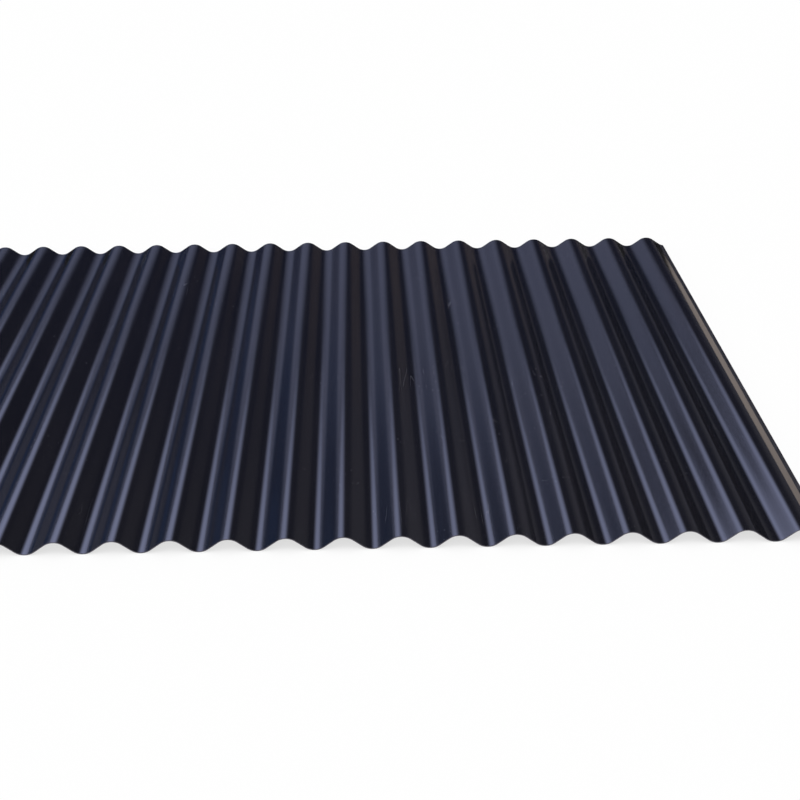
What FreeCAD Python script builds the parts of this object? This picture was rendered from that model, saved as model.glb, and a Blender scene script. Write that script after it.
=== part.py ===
import FreeCAD
import Part
import math
import os

# A corrugated PVC-U roofing sheet: one piece of extruded stock, lying flat.
# X runs across the waves, Y along the sheet, Z up.
# The origin is the centre of the rectangle that the sheet covers, on the floor.

# Sizes in millimetres, angle in degrees
sheet_width = 1400.0      # across the waves, edge to edge
sheet_length = 1500.0     # along the waves, end to end
wave_pitch = 76.0         # crest to crest
overall_height = 18.0     # floor to the top of a crest
wall_thickness = 1.2      # square to the surface
flank_angle = 35.0        # slope of the straight part between two curves
edge_drop = 35.0          # last crest to the down-turned edge on the +X side

half_pitch = wave_pitch / 2.0
half_wall = wall_thickness / 2.0
half_width = sheet_width / 2.0
half_length = sheet_length / 2.0
angle = math.radians(flank_angle)

# A half wave is a curve, a straight flank and a curve of the same radius.
# Its width and the rise of the wall's middle together settle that radius.
wave_rise = overall_height - wall_thickness
bend_radius = (
    math.cos(angle)
    * (half_pitch * math.tan(angle) - wave_rise)
    / (2.0 * (1.0 - math.cos(angle)))
)
flank_width = half_pitch - 2.0 * bend_radius * math.sin(angle)
if bend_radius <= half_wall or flank_width <= 0.0:
    raise ValueError("this flank angle cannot join waves of this pitch and height")

# Whole waves are drawn past both side edges, then trimmed to the width.
# One more crest than the sheet keeps is drawn beyond the +X edge, so that the
# edge may end anywhere in its last wave.
crest_beyond = half_width - edge_drop + wave_pitch
crest_count = math.ceil((crest_beyond + half_width) / wave_pitch) + 1
crests = [crest_beyond - number * wave_pitch for number in range(crest_count)]
crests.reverse()


def arc(centre_x, centre_z, radius, start, end):
    """A curve of the section at the near end; its angles start from the +X side."""
    points = []
    for turn in (start, (start + end) / 2.0, end):
        x = centre_x + radius * math.cos(turn)
        z = centre_z + radius * math.sin(turn)
        points.append(FreeCAD.Vector(x, -half_length, z))
    return Part.Arc(*points)


def surface(side):
    """The curves and flanks of one surface: side is 1 for the upper, -1 for the lower."""
    up = math.pi / 2.0
    crest_radius = bend_radius + side * half_wall
    crest_centre = overall_height - half_wall - bend_radius
    trough_radius = bend_radius - side * half_wall
    trough_centre = half_wall + bend_radius
    curves = []
    for crest in crests:
        before = crest - half_pitch
        after = crest + half_pitch
        curves.append(arc(before, trough_centre, trough_radius, -up, angle - up))
        curves.append(arc(crest, crest_centre, crest_radius, up + angle, up - angle))
        curves.append(arc(after, trough_centre, trough_radius, -up - angle, -up))
    edges = [curves[0].toShape()]
    for previous, curve in zip(curves, curves[1:]):
        gap = curve.StartPoint - previous.EndPoint
        if gap.Length > half_wall:
            edges.append(Part.makeLine(previous.EndPoint, curve.StartPoint))
        edges.append(curve.toShape())
    return edges, curves[0].StartPoint, curves[-1].EndPoint


# The section, closed at both sides where it will be trimmed away
upper, upper_start, upper_end = surface(1)
lower, lower_start, lower_end = surface(-1)
right_side = Part.makeLine(upper_end, lower_end)
left_side = Part.makeLine(lower_start, upper_start)
outline = Part.Wire(upper + [right_side] + lower[::-1] + [left_side])

# Extruded along Y, then trimmed at both side edges by an oversize block
stock = Part.Face(outline).extrude(FreeCAD.Vector(0.0, sheet_length, 0.0))
trim_corner = FreeCAD.Vector(-half_width, -sheet_length, -overall_height)
trim = Part.makeBox(sheet_width, 2.0 * sheet_length, 3.0 * overall_height, trim_corner)
trimmed = stock.common(trim)
corrugated_sheet = trimmed.Solids[0]

os.makedirs("parts", exist_ok=True)
corrugated_sheet.exportStep("parts/corrugated_sheet.step")
print("bend radius", round(bend_radius, 2), "mm, flank width", round(flank_width, 2), "mm")
print("solids", len(trimmed.Solids), "valid", corrugated_sheet.isValid())
print("volume", round(corrugated_sheet.Volume), "mm3")
print("box", corrugated_sheet.optimalBoundingBox(False))
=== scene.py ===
# %% [markdown]
# # A corrugated PVC roofing sheet
#
# The real sheet is one piece of stock. A band of hot, soft PVC leaves a flat die,
# is drawn through rollers that fold it into waves, cools, and is sawn to length.
# So there is one piece to model: a thin wall that keeps its thickness while it
# rises and falls, very regular, very glossy, and sawn square at both ends.
#
# The CAD model already holds its real size. We load it first, and keep its box,
# and the sheet is built to fit inside it.

# %% Load the frame
import math

import bpy
import bmesh
from mathutils import Matrix, Vector, noise


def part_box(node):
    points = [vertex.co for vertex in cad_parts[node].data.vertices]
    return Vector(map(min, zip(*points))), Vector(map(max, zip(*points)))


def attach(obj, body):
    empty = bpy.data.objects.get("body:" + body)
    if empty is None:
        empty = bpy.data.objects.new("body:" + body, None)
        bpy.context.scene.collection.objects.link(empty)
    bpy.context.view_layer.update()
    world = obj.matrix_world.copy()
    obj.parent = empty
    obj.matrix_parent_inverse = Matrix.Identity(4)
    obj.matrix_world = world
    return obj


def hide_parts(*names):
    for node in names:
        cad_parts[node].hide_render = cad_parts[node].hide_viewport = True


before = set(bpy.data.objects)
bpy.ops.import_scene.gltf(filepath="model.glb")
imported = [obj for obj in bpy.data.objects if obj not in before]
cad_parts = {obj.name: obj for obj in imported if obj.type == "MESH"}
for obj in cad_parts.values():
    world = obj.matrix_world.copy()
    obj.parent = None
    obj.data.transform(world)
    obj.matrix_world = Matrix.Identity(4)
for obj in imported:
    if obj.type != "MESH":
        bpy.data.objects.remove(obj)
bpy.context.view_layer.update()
node_low, node_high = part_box("corrugated_sheet")
print("CAD box from", node_low, "to", node_high)

# %% [markdown]
# ## The section of the wall
#
# Cut the sheet across its waves and the wall is a chain of arcs joined by short
# straight flanks. A sine curve would look close, but its highlights would be
# wrong: gloss shows how fast a surface turns, and an arc turns evenly while a
# flank doesn't turn at all. So the section is drawn the way the rollers form it.
#
# Width, length and height come from the frame. The rest is what a supplier would
# print on a data sheet: the pitch, the wall, and how steep the flanks are.

# %% Sizes of the section, in metres
PITCH = 0.076
WALL = 0.0012
FLANK_ANGLE = math.radians(35.0)
EDGE_DROP = 0.035          # from the last crest to the low side edge

half_width = node_high[0]
half_length = node_high[1]
height = node_high[2] - node_low[2]
rise = height - WALL
bend_radius = (
    math.cos(FLANK_ANGLE)
    * (PITCH / 2 * math.tan(FLANK_ANGLE) - rise)
    / (2 * (1 - math.cos(FLANK_ANGLE)))
)
last_crest = half_width - EDGE_DROP
print("bend radius", round(bend_radius * 1000, 2), "mm")

# %% [markdown]
# ## Where the wall is at any place across the sheet
#
# Each surface of the wall is the middle line pushed out by half the wall. A push
# makes the outer arc larger and the inner one smaller, so both surfaces stay true
# arcs. This function gives the height of either surface above a place on the
# floor. It is used for the side edges, which are cut straight down.


# %% Height of one surface
def surface_height(x, side):
    """Height of the upper (side 1) or lower (side -1) surface at x."""
    wave = (x - last_crest) / PITCH + 0.5
    from_crest = abs(wave - math.floor(wave) - 0.5) * PITCH
    crest_radius = bend_radius + side * WALL / 2
    trough_radius = bend_radius - side * WALL / 2
    crest_centre = height - WALL / 2 - bend_radius
    trough_centre = WALL / 2 + bend_radius
    crest_reach = crest_radius * math.sin(FLANK_ANGLE)
    trough_reach = trough_radius * math.sin(FLANK_ANGLE)
    from_trough = PITCH / 2 - from_crest
    if from_crest <= crest_reach:
        return crest_centre + math.sqrt(crest_radius**2 - from_crest**2)
    if from_trough <= trough_reach:
        return trough_centre - math.sqrt(trough_radius**2 - from_trough**2)
    flank_top = crest_centre + crest_radius * math.cos(FLANK_ANGLE)
    return flank_top - (from_crest - crest_reach) * math.tan(FLANK_ANGLE)


print("top of a crest", round(surface_height(last_crest, 1) * 1000, 3), "mm")

# %% [markdown]
# ## Columns across the sheet
#
# The mesh needs points where the wall turns and hardly any where it is straight.
# Walking along the middle line by angle does this by itself: equal turns on the
# arcs give equal facets, and the flank between two arcs needs only a few cuts to
# keep the mesh even. At each stop we note the place and the direction square to
# the wall, and step half a wall both ways from it.

# %% Stops along the middle line
ARC_STEPS = 12
FLANK_STEPS = 3


def half_wave_stops():
    """Offsets from a crest to the next trough: (across, down, lean of the wall)."""
    stops = []
    for step in range(ARC_STEPS // 2):
        lean = FLANK_ANGLE * step / (ARC_STEPS // 2)
        across = bend_radius * math.sin(lean)
        down = bend_radius * (1 - math.cos(lean))
        stops.append((across, down, lean))
    start_across = bend_radius * math.sin(FLANK_ANGLE)
    start_down = bend_radius * (1 - math.cos(FLANK_ANGLE))
    flank = PITCH / 2 - 2 * start_across
    for step in range(FLANK_STEPS + 1):
        share = step / FLANK_STEPS
        across = start_across + flank * share
        down = start_down + flank * share * math.tan(FLANK_ANGLE)
        stops.append((across, down, FLANK_ANGLE))
    for step in reversed(range(ARC_STEPS // 2)):
        lean = FLANK_ANGLE * step / (ARC_STEPS // 2)
        across = PITCH / 2 - bend_radius * math.sin(lean)
        down = rise - bend_radius * (1 - math.cos(lean))
        stops.append((across, down, lean))
    return stops


def columns():
    """Upper and lower points of the section, from the -X edge to the +X edge."""
    middle = height - WALL / 2
    found = []
    wave_count = math.ceil(2 * half_width / PITCH) + 1
    for number in range(wave_count, -2, -1):
        crest = last_crest - number * PITCH
        falling = [(crest + a, middle - d, lean) for a, d, lean in half_wave_stops()]
        rising = [(crest - a, middle - d, -lean) for a, d, lean in half_wave_stops()]
        for x, z, lean in rising[:0:-1] + falling[:-1]:
            push = Vector((math.sin(lean), math.cos(lean))) * WALL / 2
            found.append((Vector((x, z)) + push, Vector((x, z)) - push))
    keep = half_width - WALL / 2
    inside = [pair for pair in found if max(abs(pair[0].x), abs(pair[1].x)) < keep]
    edge_pairs = []
    for x in (-half_width, half_width):
        upper = Vector((x, surface_height(x, 1)))
        lower = Vector((x, surface_height(x, -1)))
        edge_pairs.append((upper, lower))
    return [edge_pairs[0]] + inside + [edge_pairs[1]]


section = columns()
print("columns across the sheet", len(section))

# %% [markdown]
# ## Rows along the sheet
#
# Real sheet is never as true as its drawing. The wall cools with a slow swell of
# a tenth of a millimetre or so, far too little to see as shape, but a mirror-like
# skin shows it: the long highlights waver and fade a little on their way down the
# sheet. That is why there are rows at all, and why the swell is in the mesh and
# not left to a bump texture.
#
# The swell must not push the sheet past its true height, so each point first
# moves towards the middle by the most that the swell could add.

# %% Rows and the slow swell of the wall
ROW_STEP = 0.03
SWELL = 0.00012
SAW_CHAMFER = 0.00015
SAW_WANDER = 0.0003

# How many times each pattern turns in a metre, across and along
BROAD_SWELL = (9.0, 2.2)
SMALL_SWELL = (31.0, 6.0)
SLOW_SAW = (14.0, 5.0)
FAST_SAW = (170.0, 5.0)
BROAD_SHARE = 0.7
SMALL_SHARE = 0.3
SAW_MIDDLE = 0.5
SAW_SHARE = 0.35


def unevenness(x, y, turns, layer):
    """Smooth noise; layer picks a pattern of its own."""
    return noise.noise(Vector((x * turns[0], y * turns[1], layer)))


def swell(x, y):
    """Slow unevenness of the wall, from -1 to 1, longer along the sheet than across."""
    broad = unevenness(x, y, BROAD_SWELL, 3.1)
    small = unevenness(x, y, SMALL_SWELL, 8.7)
    return max(-1.0, min(1.0, BROAD_SHARE * broad + SMALL_SHARE * small))


def saw_wander(x, end):
    """How far the saw bit into the sheet at x, from 0 to SAW_WANDER."""
    slow = unevenness(x, end, SLOW_SAW, 1.3)
    fast = unevenness(x, end, FAST_SAW, 6.4)
    return SAW_WANDER * max(0.0, min(1.0, SAW_MIDDLE + SAW_SHARE * slow + SAW_SHARE * fast))


row_count = round(2 * half_length / ROW_STEP)
rows = [-half_length + 2 * half_length * step / row_count for step in range(row_count + 1)]
print("rows along the sheet", len(rows))

# %% [markdown]
# ## Building the sheet
#
# The mesh is two skins, upper and lower, closed by four narrow strips: two sawn
# ends and two side edges. Each end also gets a hair-thin chamfer, because a sawn
# edge is always broken a little, and that thin slope is what catches light along
# the rim. The sawn faces take a second material, so they are marked as they are
# made.

# %% The sheet's mesh
SKIN, SAWN = 0, 1


def place(point, y):
    """One vertex of the sheet: its section point, swelled, at y."""
    squeeze = 1 - 2 * SWELL / height
    z = SWELL + point.y * squeeze + SWELL * swell(point.x, y)
    return Vector((point.x, y, z))


def build_sheet():
    mesh = bmesh.new()
    grid = {1: [], -1: []}
    for number, y in enumerate(rows):
        end = -1 if number == 0 else 1 if number == row_count else 0
        for side in (1, -1):
            line = []
            for pair in section:
                point = pair[0] if side == 1 else pair[1]
                bite = saw_wander(point.x, end) + SAW_CHAMFER if end else 0.0
                line.append(mesh.verts.new(place(point, y - end * bite)))
            grid[side].append(line)
    for side in (1, -1):
        for near, far in zip(grid[side], grid[side][1:]):
            for left in range(len(section) - 1):
                corners = [near[left], near[left + 1], far[left + 1], far[left]]
                mesh.faces.new(corners[::side]).smooth = True
    for number, end in ((0, -1), (row_count, 1)):
        add_sawn_end(mesh, grid[1][number], grid[-1][number], end)
    for column, side in ((0, -1), (len(section) - 1, 1)):
        for number in range(row_count):
            corners = [
                grid[-1][number][column],
                grid[-1][number + 1][column],
                grid[1][number + 1][column],
                grid[1][number][column],
            ]
            mesh.faces.new(corners[::side]).material_index = SAWN
    return mesh


def add_sawn_end(mesh, upper, lower, end):
    """Close one end: a chamfer round both skins, then the flat sawn face."""
    inner_upper, inner_lower = [], []
    for top, bottom in zip(upper, lower):
        through = (bottom.co - top.co).normalized() * SAW_CHAMFER
        out = Vector((0, end * SAW_CHAMFER, 0))
        inner_upper.append(mesh.verts.new(top.co + through + out))
        inner_lower.append(mesh.verts.new(bottom.co - through + out))
    strips = ((upper, inner_upper), (inner_upper, inner_lower), (inner_lower, lower))
    for above, below in strips:
        for left in range(len(upper) - 1):
            corners = [below[left], below[left + 1], above[left + 1], above[left]]
            mesh.faces.new(corners[::-end]).material_index = SAWN
    for left, side in ((0, -1), (len(upper) - 1, 1)):
        corners = [upper[left], inner_upper[left], inner_lower[left], lower[left]]
        mesh.faces.new(corners[:: side * end]).material_index = SAWN


def keep_rims_crisp(mesh):
    """Mark each edge between a skin and a sawn face, so that shading breaks there."""
    for edge in mesh.edges:
        kinds = {face.material_index for face in edge.link_faces}
        if len(kinds) > 1:
            edge.smooth = False


sheet_mesh = build_sheet()
bmesh.ops.recalc_face_normals(sheet_mesh, faces=sheet_mesh.faces)
keep_rims_crisp(sheet_mesh)
sheet_data = bpy.data.meshes.new("roofing_sheet")
sheet_mesh.to_mesh(sheet_data)
sheet_mesh.free()
sheet = bpy.data.objects.new("roofing_sheet", sheet_data)
bpy.context.collection.objects.link(sheet)
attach(sheet, "root")
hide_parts("corrugated_sheet")
print("sheet faces", len(sheet_data.polygons))

# %% [markdown]
# ## Glossy black PVC
#
# PVC comes off polished rollers, so the skin is close to a dark mirror. Its own
# colour is almost black with a trace of blue, and nearly everything that the eye
# sees on it is reflection. Three things keep it from looking like black glass:
# hair-fine lines drawn along the sheet by the die, a very soft pebbling of the
# skin, and gloss that isn't the same everywhere.

# %% Helpers for materials
NOISE_MIDDLE = (0.3, 0.7)
EVENLY = (1.0, 1.0, 1.0)


def new_material(name):
    """A new material, its nodes, its links and its Principled shader."""
    material = bpy.data.materials.new(name)
    material.use_nodes = True
    nodes = material.node_tree.nodes
    shader = nodes["Principled BSDF"]
    return material, nodes, material.node_tree.links, shader


def stretched_noise(nodes, links, scale, size, detail):
    """Noise in the sheet's own space, squeezed or drawn out by scale on each axis."""
    place_node = nodes.new("ShaderNodeTexCoord")
    mapping = nodes.new("ShaderNodeMapping")
    mapping.inputs["Scale"].default_value = scale
    pattern = nodes.new("ShaderNodeTexNoise")
    pattern.inputs["Scale"].default_value = size
    pattern.inputs["Detail"].default_value = detail
    links.new(place_node.outputs["Object"], mapping.inputs["Vector"])
    links.new(mapping.outputs["Vector"], pattern.inputs["Vector"])
    return pattern.outputs["Fac"]


def remapped(nodes, links, value, source, target):
    """Carry a value from one range to another, and hold it inside the second."""
    remap = nodes.new("ShaderNodeMapRange")
    remap.inputs["From Min"].default_value = source[0]
    remap.inputs["From Max"].default_value = source[1]
    remap.inputs["To Min"].default_value = target[0]
    remap.inputs["To Max"].default_value = target[1]
    links.new(value, remap.inputs["Value"])
    return remap.outputs["Result"]


def two_tones(nodes, links, value, positions, tones):
    """A colour that runs from the first tone to the second as the value grows."""
    ramp = nodes.new("ShaderNodeValToRGB")
    for element, position, tone in zip(ramp.color_ramp.elements, positions, tones):
        element.position = position
        element.color = (*tone, 1.0)
    links.new(value, ramp.inputs["Fac"])
    return ramp.outputs["Color"]


print("noise is read between", NOISE_MIDDLE)

# %% [markdown]
# A sheet that has been stacked and slid about also carries small marks. There are
# three kinds, and all of them are sparse: hair scratches that run more or less
# along the sheet, specks of dust and swarf from the saw, and a dull scuffed band
# along the +X side edge that gets dragged. That band is also a painted reflection:
# its paler colour stands for the beige strip that the outer flank mirrors off the
# floor. Each is a mask from 0 to 1.
#
# A scratch is drawn where a noise passes through its middle value, because that
# happens along thin winding lines. A second, broader noise keeps only a few.


# %% Masks for wear
SCRATCH_STRETCH = (60.0, 3.0, 60.0)
SCRATCH_MIDDLE = 0.5
SCRATCH_LINE = (0.006, 0.001)
SCRATCH_PATCHES = (9.0, 4.0, 9.0)
SCRATCH_KEPT = (0.62, 0.70)
SPECK_SIZE = 380.0
SPECK_SPOTS = (0.80, 0.84)
SPECK_PATCHES = (7.0, 7.0, 7.0)
SPECK_KEPT = (0.45, 0.65)
# The +X edge band is a dull scuff and also a painted reflection of the floor in the outer
# flank.
SCUFF_AND_STRIP_WIDTH = 0.010
SCUFF_AND_STRIP_STRETCH = (150.0, 25.0, 150.0)
SCUFF_AND_STRIP_KEPT = (0.4, 0.7)


def step_mask(nodes, links, value, steps):
    """0 before the first step, 1 past the second; a falling pair works downwards."""
    return remapped(nodes, links, value, steps, (0.0, 1.0))


def math_node(nodes, links, operation, first, second):
    """One Math node; second is a socket or a plain number."""
    node = nodes.new("ShaderNodeMath")
    node.operation = operation
    links.new(first, node.inputs[0])
    if isinstance(second, float):
        node.inputs[1].default_value = second
    else:
        links.new(second, node.inputs[1])
    return node.outputs["Value"]


def scratches(nodes, links):
    winding = stretched_noise(nodes, links, SCRATCH_STRETCH, 1.0, 1.0)
    distance = math_node(nodes, links, "SUBTRACT", winding, SCRATCH_MIDDLE)
    distance = math_node(nodes, links, "ABSOLUTE", distance, 0.0)
    line = step_mask(nodes, links, distance, SCRATCH_LINE)
    patches = stretched_noise(nodes, links, SCRATCH_PATCHES, 1.0, 2.0)
    kept = step_mask(nodes, links, patches, SCRATCH_KEPT)
    return math_node(nodes, links, "MULTIPLY", line, kept)


def specks(nodes, links):
    grains = stretched_noise(nodes, links, EVENLY, SPECK_SIZE, 0.0)
    spots = step_mask(nodes, links, grains, SPECK_SPOTS)
    patches = stretched_noise(nodes, links, SPECK_PATCHES, 1.0, 2.0)
    kept = step_mask(nodes, links, patches, SPECK_KEPT)
    return math_node(nodes, links, "MULTIPLY", spots, kept)


# Dull scuff along the +X side edge, and also a painted reflection: the paler band stands
# for the floor mirrored in the outer flank.
def scuff_and_painted_strip(nodes, links):
    place_node = nodes.new("ShaderNodeTexCoord")
    split = nodes.new("ShaderNodeSeparateXYZ")
    links.new(place_node.outputs["Object"], split.inputs["Vector"])
    band = (half_width - SCUFF_AND_STRIP_WIDTH, half_width)
    near_edge = step_mask(nodes, links, split.outputs["X"], band)
    scuff_and_strip_patches = stretched_noise(nodes, links, SCUFF_AND_STRIP_STRETCH, 1.0, 3.0)
    kept = step_mask(nodes, links, scuff_and_strip_patches, SCUFF_AND_STRIP_KEPT)
    return math_node(nodes, links, "MULTIPLY", near_edge, kept)


# The scuffed edge mask is also the painted reflection of the floor along the +X edge.
print("masks for", ["scratches", "specks", "scuffed edge and painted strip"])

# %% [markdown]
# The skin's colour, gloss and relief are each a pattern of their own, and the wear
# is laid over the first two: marked places are paler and duller. Along the +X edge
# the paler colour is also a painted reflection of the floor.


# %% The skin
PVC_IOR = 1.53
SKIN_TONES = ((0.0104, 0.0098, 0.0112), (0.0130, 0.0122, 0.0140))
SKIN_TONE_STOPS = (0.35, 0.65)
SKIN_ROUGHNESS = (0.07, 0.135)
# Paler colour of the wear marks; on the +X edge band it is also a painted reflection of the
# floor.
PALE_WEAR_AND_STRIP = (0.085, 0.082, 0.095)
DULL = 0.45
WEAR_AND_STRIP_STRENGTH = 0.7
TONE_STRETCH = (6.0, 0.7, 6.0)
GLOSS_STRETCH = (40.0, 1.2, 40.0)
DRAWN_STRETCH = (260.0, 1.5, 260.0)
DRAWN_STRENGTH = 0.12
PEBBLE_SIZE = 420.0
PEBBLE_STRENGTH = 0.05
RELIEF = 0.0001


def relief(nodes, links, pattern, strength):
    """A bump node driven by a pattern."""
    bump = nodes.new("ShaderNodeBump")
    bump.inputs["Strength"].default_value = strength
    bump.inputs["Distance"].default_value = RELIEF
    links.new(pattern, bump.inputs["Height"])
    return bump


def make_skin():
    material, nodes, links, shader = new_material("gloss_pvc_skin")
    shader.inputs["IOR"].default_value = PVC_IOR

    # Scratches and specks are wear; the +X edge band is a scuff and also a painted
    # reflection of the floor.
    wear_and_painted_strip = math_node(nodes, links, "MAXIMUM", scratches(nodes, links), specks(nodes, links))
    wear_and_painted_strip = math_node(nodes, links, "MAXIMUM", wear_and_painted_strip, scuff_and_painted_strip(nodes, links))
    wear_and_painted_strip = math_node(nodes, links, "MULTIPLY", wear_and_painted_strip, WEAR_AND_STRIP_STRENGTH)

    tone = stretched_noise(nodes, links, TONE_STRETCH, 3.0, 3.0)
    colour = two_tones(nodes, links, tone, SKIN_TONE_STOPS, SKIN_TONES)
    marked = nodes.new("ShaderNodeMixRGB")
    marked.inputs["Color2"].default_value = (*PALE_WEAR_AND_STRIP, 1.0)
    links.new(wear_and_painted_strip, marked.inputs["Fac"])
    links.new(colour, marked.inputs["Color1"])
    links.new(marked.outputs["Color"], shader.inputs["Base Color"])

    streaks = stretched_noise(nodes, links, GLOSS_STRETCH, 2.0, 4.0)
    gloss = remapped(nodes, links, streaks, NOISE_MIDDLE, SKIN_ROUGHNESS)
    dulled = math_node(nodes, links, "MULTIPLY", wear_and_painted_strip, DULL)
    roughness = math_node(nodes, links, "MAXIMUM", gloss, dulled)
    links.new(roughness, shader.inputs["Roughness"])

    lines = stretched_noise(nodes, links, DRAWN_STRETCH, 2.0, 3.0)
    pebble = stretched_noise(nodes, links, EVENLY, PEBBLE_SIZE, 2.0)
    drawn = relief(nodes, links, lines, DRAWN_STRENGTH)
    soft = relief(nodes, links, pebble, PEBBLE_STRENGTH)
    links.new(drawn.outputs["Normal"], soft.inputs["Normal"])
    links.new(soft.outputs["Normal"], shader.inputs["Normal"])
    return material


print("skin roughness", SKIN_ROUGHNESS)

# %% [markdown]
# ## The sawn faces
#
# A saw leaves PVC dull and slightly paler, with fine marks square to the face.
# These faces are only a little over a millimetre high, so the tone and the
# roughness matter and the marks are kept small.


# %% The sawn faces
SAWN_TONES = ((0.050, 0.046, 0.056), (0.130, 0.122, 0.140))
SAWN_ROUGHNESS = (0.35, 0.6)
SAW_STRETCH = (900.0, 60.0, 300.0)


def make_sawn():
    material, nodes, links, shader = new_material("sawn_pvc")
    shader.inputs["IOR"].default_value = PVC_IOR
    marks = stretched_noise(nodes, links, SAW_STRETCH, 1.0, 2.0)
    colour = two_tones(nodes, links, marks, NOISE_MIDDLE, SAWN_TONES)
    roughness = remapped(nodes, links, marks, NOISE_MIDDLE, SAWN_ROUGHNESS)
    links.new(colour, shader.inputs["Base Color"])
    links.new(roughness, shader.inputs["Roughness"])
    return material


sheet_data.materials.append(make_skin())
sheet_data.materials.append(make_sawn())
print("materials", [material.name for material in sheet_data.materials])

# %% [markdown]
# ## Floor and world
#
# The floor is plain and pale. It is lit at a level where white comes out white,
# and rays that the camera sends straight to it, or by way of a glossy surface,
# see more than half of it as plain white, so that it stays clean but keeps a soft
# shadow.

# %% Floor
FLOOR_REACH = 60.0
FLOOR_COLOUR = (0.98, 0.98, 0.98, 1.0)
WHITE_SHARE = 0.7


def seen_directly(nodes, links):
    """1 for rays from the camera or off a mirror or through glass, and 0 for the rest."""
    path = nodes.new("ShaderNodeLightPath")
    direct = path.outputs["Is Camera Ray"]
    for name in ("Is Glossy Ray", "Is Transmission Ray"):
        direct = math_node(nodes, links, "MAXIMUM", direct, path.outputs[name])
    return direct


def make_floor():
    bpy.ops.mesh.primitive_plane_add(size=2 * FLOOR_REACH, location=(0, 0, node_low[2]))
    floor = bpy.context.object
    floor.name = "floor"
    material, nodes, links, shader = new_material("pale_floor")
    shader.inputs["Base Color"].default_value = FLOOR_COLOUR
    shader.inputs["Roughness"].default_value = 1.0
    shader.inputs["Specular IOR Level"].default_value = 0.0
    white = nodes.new("ShaderNodeEmission")
    white.inputs["Strength"].default_value = 1.0
    direct = seen_directly(nodes, links)
    share = math_node(nodes, links, "MULTIPLY", direct, WHITE_SHARE)
    mix = nodes.new("ShaderNodeMixShader")
    links.new(share, mix.inputs["Fac"])
    links.new(shader.outputs["BSDF"], mix.inputs[1])
    links.new(white.outputs["Emission"], mix.inputs[2])
    links.new(mix.outputs["Shader"], nodes["Material Output"].inputs["Surface"])
    floor.data.materials.append(material)


make_floor()
print("floor reaches", FLOOR_REACH, "m each way")

# %% [markdown]
# The world is the even part of the light, like a bright overcast sky. To the camera
# it is plain white, so that the room has no horizon.

# %% World
WORLD_LEVEL = 0.75

world = bpy.data.worlds.new("studio")
bpy.context.scene.world = world
world.use_nodes = True
world.cycles.sampling_method = "NONE"
world_nodes = world.node_tree.nodes
world_links = world.node_tree.links
background = world_nodes["Background"]
background.inputs["Color"].default_value = (1.0, 1.0, 1.0, 1.0)
direct = seen_directly(world_nodes, world_links)
level = remapped(world_nodes, world_links, direct, (0.0, 1.0), (WORLD_LEVEL, 1.0))
world_links.new(level, background.inputs["Strength"])
print("world level", WORLD_LEVEL)

# %% [markdown]
# ## What the sheet mirrors
#
# A dark mirror shows the room, so the room has to be dark too, with soft lights
# only where a highlight should fall. A studio for glossy goods hangs dark cloth all
# round and stands lit panels inside it. Here the cloth is a large ball, and the panels
# stand inside it. Only glossy rays see them: they shape the reflections and leave
# the floor, the shadows and the plain light alone. The cloth isn't quite black. Its
# faint blue is what lifts the shaded flanks off pure black.


# %% Dark cloth
CLOTH_RADIUS = 40.0
CLOTH_GLOW = (0.004, 0.009, 0.034)


def only_in_reflections(obj):
    obj.visible_camera = False
    obj.visible_diffuse = False
    obj.visible_shadow = False
    obj.visible_transmission = False
    obj.visible_volume_scatter = False


def make_cloth():
    bpy.ops.mesh.primitive_uv_sphere_add(segments=48, ring_count=24, radius=CLOTH_RADIUS)
    cloth = bpy.context.object
    cloth.name = "dark_cloth"
    material, _, _, shader = new_material("dark_cloth")
    material.cycles.emission_sampling = "NONE"
    shader.inputs["Base Color"].default_value = (0.0, 0.0, 0.0, 1.0)
    shader.inputs["Specular IOR Level"].default_value = 0.0
    shader.inputs["Emission Color"].default_value = (*CLOTH_GLOW, 1.0)
    shader.inputs["Emission Strength"].default_value = 1.0
    cloth.data.materials.append(material)
    only_in_reflections(cloth)


make_cloth()
print("cloth glow", CLOTH_GLOW)

# %% [markdown]
# A white floor right beside a dark mirror draws a hard white line along its outer
# flank. A sheet of grey-brown card on the floor, under and around the piece, calms
# that line. Past the far end the card is black, or the last flanks would show pale
# patches there. Like the cloth, the cards are there only for reflections.

# %% Cards on the floor
CARD_REACH = 8.0
CARD_LIFT = 0.00001
BROWN = (0.42, 0.36, 0.33)
NEAR_BLACK = (0.01, 0.01, 0.01)


def make_card(name, colour, near, far):
    """A card across the floor from near to far, measured along the sheet."""
    z = node_low[2] + CARD_LIFT
    mesh = bpy.data.meshes.new(name)
    left, right = -CARD_REACH, CARD_REACH
    corners = [(left, near, z), (right, near, z), (right, far, z), (left, far, z)]
    mesh.from_pydata(corners, [], [(0, 1, 2, 3)])
    card = bpy.data.objects.new(name, mesh)
    bpy.context.collection.objects.link(card)
    material, _, _, shader = new_material(name)
    shader.inputs["Base Color"].default_value = (*colour, 1.0)
    shader.inputs["Roughness"].default_value = 1.0
    shader.inputs["Specular IOR Level"].default_value = 0.0
    mesh.materials.append(material)
    only_in_reflections(card)
    print(name, "from", round(near, 2), "to", round(far, 2), "m")


make_card("brown_card", BROWN, -CARD_REACH, half_length)
make_card("black_card", NEAR_BLACK, half_length, half_length + CARD_REACH)

# %% [markdown]
# ## Lit panels
#
# A window makes a highlight with soft ends, because blinds, sills and walls dim it
# bit by bit. So each panel fades at all four edges instead of stopping, and where
# two panels overlap their light adds up.
#
# A flank can mirror its neighbour, which mirrors the panel in turn. Those second
# reflections came out too strong, so a panel shows itself dimmer to rays that have
# already met the sheet twice. That is a trick of the stage: no real panel does it,
# and the sheet's own material has no part in it.


# %% Light of a panel
SECOND_BOUNCE = 0.2


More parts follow.
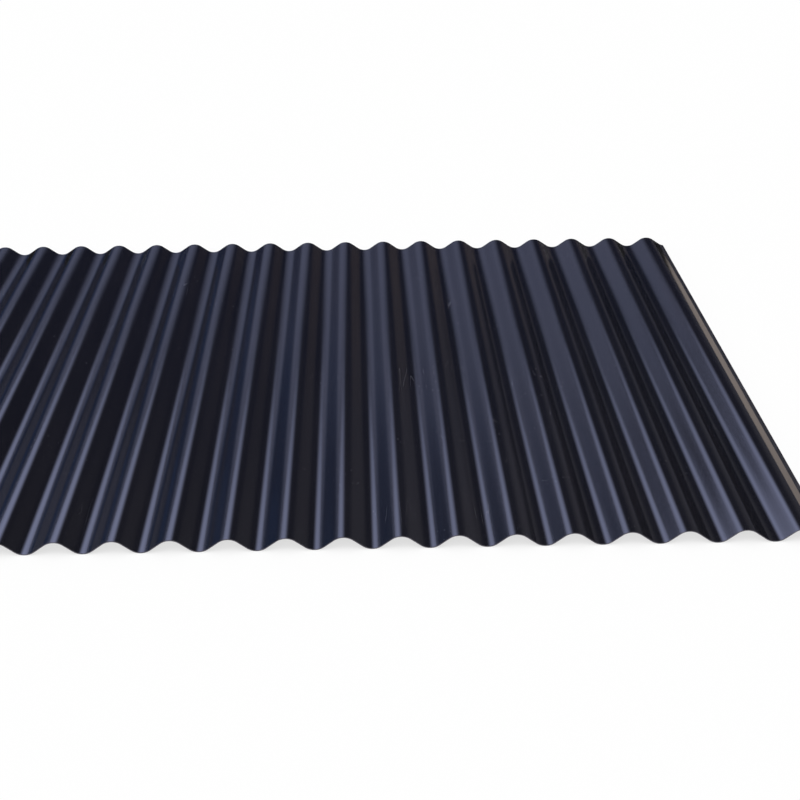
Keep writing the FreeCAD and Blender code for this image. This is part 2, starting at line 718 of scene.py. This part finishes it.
def fade_across(nodes, links, coordinate, start, end):
    """0 before start and 1 after end, along one coordinate of the panel."""
    fade = step_mask(nodes, links, coordinate, (start, end))
    fade.node.interpolation_type = "SMOOTHERSTEP"
    return fade


def product(nodes, links, values, total):
    """A number times each of the values."""
    for value in values:
        total = math_node(nodes, links, "MULTIPLY", value, total)
    return total


def mostly_first_bounce(nodes, links):
    """1 after one bounce off the sheet, and SECOND_BOUNCE after two or more."""
    path = nodes.new("ShaderNodeLightPath")
    bounces = path.outputs["Glossy Depth"]
    return remapped(nodes, links, bounces, (1.0, 2.0), (1.0, SECOND_BOUNCE))


def panel_material(name, sides, fades, strength, tint, slope):
    """A see-through glow that fades towards all four edges of its panel."""
    left, right, low, high = sides
    fade_left, fade_right, fade_low, fade_high = fades
    material = bpy.data.materials.new(name)
    material.use_nodes = True
    material.cycles.emission_sampling = "NONE"
    nodes = material.node_tree.nodes
    links = material.node_tree.links
    nodes.remove(nodes["Principled BSDF"])
    coordinates = nodes.new("ShaderNodeTexCoord")
    split = nodes.new("ShaderNodeSeparateXYZ")
    links.new(coordinates.outputs["Object"], split.inputs["Vector"])
    across, up = split.outputs["X"], split.outputs["Z"]
    leaning = nodes.new("ShaderNodeMath")
    leaning.operation = "MULTIPLY_ADD"
    leaning.inputs[1].default_value = slope
    links.new(across, leaning.inputs[0])
    links.new(up, leaning.inputs[2])
    dimmers = (
        fade_across(nodes, links, across, left, left + fade_left),
        fade_across(nodes, links, across, right, right - fade_right),
        fade_across(nodes, links, leaning.outputs["Value"], low, low + fade_low),
        fade_across(nodes, links, up, high, high - fade_high),
        mostly_first_bounce(nodes, links),
    )
    light = nodes.new("ShaderNodeEmission")
    light.inputs["Color"].default_value = (*tint, 1.0)
    links.new(product(nodes, links, dimmers, strength), light.inputs["Strength"])
    clear = nodes.new("ShaderNodeBsdfTransparent")
    both = nodes.new("ShaderNodeAddShader")
    links.new(light.outputs["Emission"], both.inputs[0])
    links.new(clear.outputs["BSDF"], both.inputs[1])
    links.new(both.outputs["Shader"], nodes["Material Output"].inputs["Surface"])
    return material


print("second bounce shows", SECOND_BOUNCE)


# %% A panel
def make_panel(name, bearing, distance, sides, fades, strength, tint, slope=0.0):
    """An upright lit panel facing the sheet.

    bearing is its direction from +Y towards +X, in degrees. sides are its left, right,
    low and high edges in metres, seen from the sheet, and fades are how far the light
    takes to rise from each of them. slope tilts the lower fade, in metres for each
    metre to the right.
    """
    left, right, low, high = sides
    mesh = bpy.data.meshes.new(name)
    corners = [(left, low), (right, low), (right, high), (left, high)]
    mesh.from_pydata([(x, 0.0, z) for x, z in corners], [], [(0, 1, 2, 3)])
    mesh.materials.append(panel_material(name, sides, fades, strength, tint, slope))
    panel = bpy.data.objects.new(name, mesh)
    turn = Matrix.Rotation(-math.radians(bearing), 4, "Z")
    panel.matrix_world = turn @ Matrix.Translation((0.0, distance, 0.0))
    bpy.context.collection.objects.link(panel)
    only_in_reflections(panel)
    print("panel", name, "towards", round(bearing), "degrees")


# %% [markdown]
# The window stands straight ahead and to the left. Its light grows slowly upwards,
# and the sheet's far end mirrors only its dim foot, which is why the highlights
# grow towards us. Under it is a lit sill. To the right are a dim grey wall and, low
# down, a lamp-coloured corner that draws the thin brown lines on the right-hand
# flanks.

# %% Panels ahead of the sheet
DAYLIGHT = (0.79, 0.87, 1.34)
DUSK = (0.30, 0.75, 1.95)
LAMPLIGHT = (1.30, 0.98, 0.65)
WALL_GREY = (1.04, 0.98, 0.98)
STRAIGHT = 0.0
AHEAD = 20.0

make_panel(
    "window", STRAIGHT, AHEAD,
    sides=(-22.0, 2.5, 3.6, 26.0), fades=(4.0, 6.2, 8.8, 6.0),
    strength=1.72, tint=DAYLIGHT, slope=-0.06,
)
make_panel(
    "sill", STRAIGHT, AHEAD,
    sides=(-8.2, 3.2, -0.2, 7.0), fades=(3.8, 4.3, 4.6, 2.6),
    strength=0.22, tint=DAYLIGHT,
)
make_panel(
    "dim_wall", STRAIGHT, AHEAD,
    sides=(-24.0, -5.1, -0.5, 7.2), fades=(6.0, 1.6, 1.0, 1.0),
    strength=0.04, tint=DUSK,
)
make_panel(
    "lamp_corner", STRAIGHT, AHEAD,
    sides=(0.3, 8.0, -0.5, 4.6), fades=(2.0, 3.0, 0.5, 3.4),
    strength=0.075, tint=LAMPLIGHT,
)
make_panel(
    "grey_wall", STRAIGHT, AHEAD,
    sides=(4.0, 20.0, -0.5, 14.0), fades=(6.0, 6.0, 0.5, 7.0),
    strength=0.065, tint=WALL_GREY,
)

# %% [markdown]
# More windows stand all round the other sides, with dark gaps between them. Each
# one draws a bright line along every wave, and the gaps keep those lines apart, so
# the sheet reads as glossy from wherever it is seen.

# %% Panels all round
AROUND = 22.0
FIRST_BEARING = 62
LAST_BEARING = 298
SIDE_WINDOWS = 8
SIDE_WINDOW = (-4.0, 4.0, 2.5, 24.0)
SIDE_FADES = (1.4, 1.4, 3.0, 6.0)
SIDE_STRENGTH = 1.9

for number in range(SIDE_WINDOWS):
    share = number / (SIDE_WINDOWS - 1)
    bearing = FIRST_BEARING + share * (LAST_BEARING - FIRST_BEARING)
    name = "side_window_" + str(number + 1)
    make_panel(name, bearing, AROUND, SIDE_WINDOW, SIDE_FADES, SIDE_STRENGTH, DAYLIGHT)

# %% [markdown]
# ## The key light
#
# A lamp far away with a very wide disc lights the whole floor alike and gives the
# sheet a soft, shallow shadow. It is kept out of reflections, which the panels
# look after.

# %% Key light
KEY_DISC = math.radians(50.0)
KEY_ENERGY = 1.0
KEY_LEAN = (math.radians(32.0), math.radians(-18.0), 0.0)

key_data = bpy.data.lights.new("key", "SUN")
key_data.angle = KEY_DISC
key_data.energy = KEY_ENERGY
key = bpy.data.objects.new("key", key_data)
key.rotation_euler = KEY_LEAN
key.visible_glossy = False
bpy.context.collection.objects.link(key)
print("key energy", key_data.energy)

# %% [markdown]
# ## Camera
#
# The sheet lies on the floor with its waves running away from us. The camera
# stands a little over a metre high and nearly two and a half metres in front of the
# near end, with a long lens, and looks down at a shallow angle.

# %% Camera
LENS = 90.0
SENSOR = 36.0
CAMERA_AT = Vector((0.0833, -half_length - 2.414, 1.059))
TILT_DOWN = math.radians(19.43)
TURN_RIGHT = math.radians(1.18)
ROLL = math.radians(0.57)

camera_data = bpy.data.cameras.new("camera")
camera_data.lens = LENS
camera_data.sensor_width = SENSOR
camera = bpy.data.objects.new("camera", camera_data)
aim = (
    Matrix.Rotation(-TURN_RIGHT, 4, "Z")
    @ Matrix.Rotation(math.pi / 2 - TILT_DOWN, 4, "X")
    @ Matrix.Rotation(-ROLL, 4, "Z")
)
camera.matrix_world = Matrix.Translation(CAMERA_AT) @ aim
bpy.context.collection.objects.link(camera)
bpy.context.scene.camera = camera
bpy.context.scene.view_settings.view_transform = "Standard"
print("camera at", tuple(round(value, 3) for value in CAMERA_AT))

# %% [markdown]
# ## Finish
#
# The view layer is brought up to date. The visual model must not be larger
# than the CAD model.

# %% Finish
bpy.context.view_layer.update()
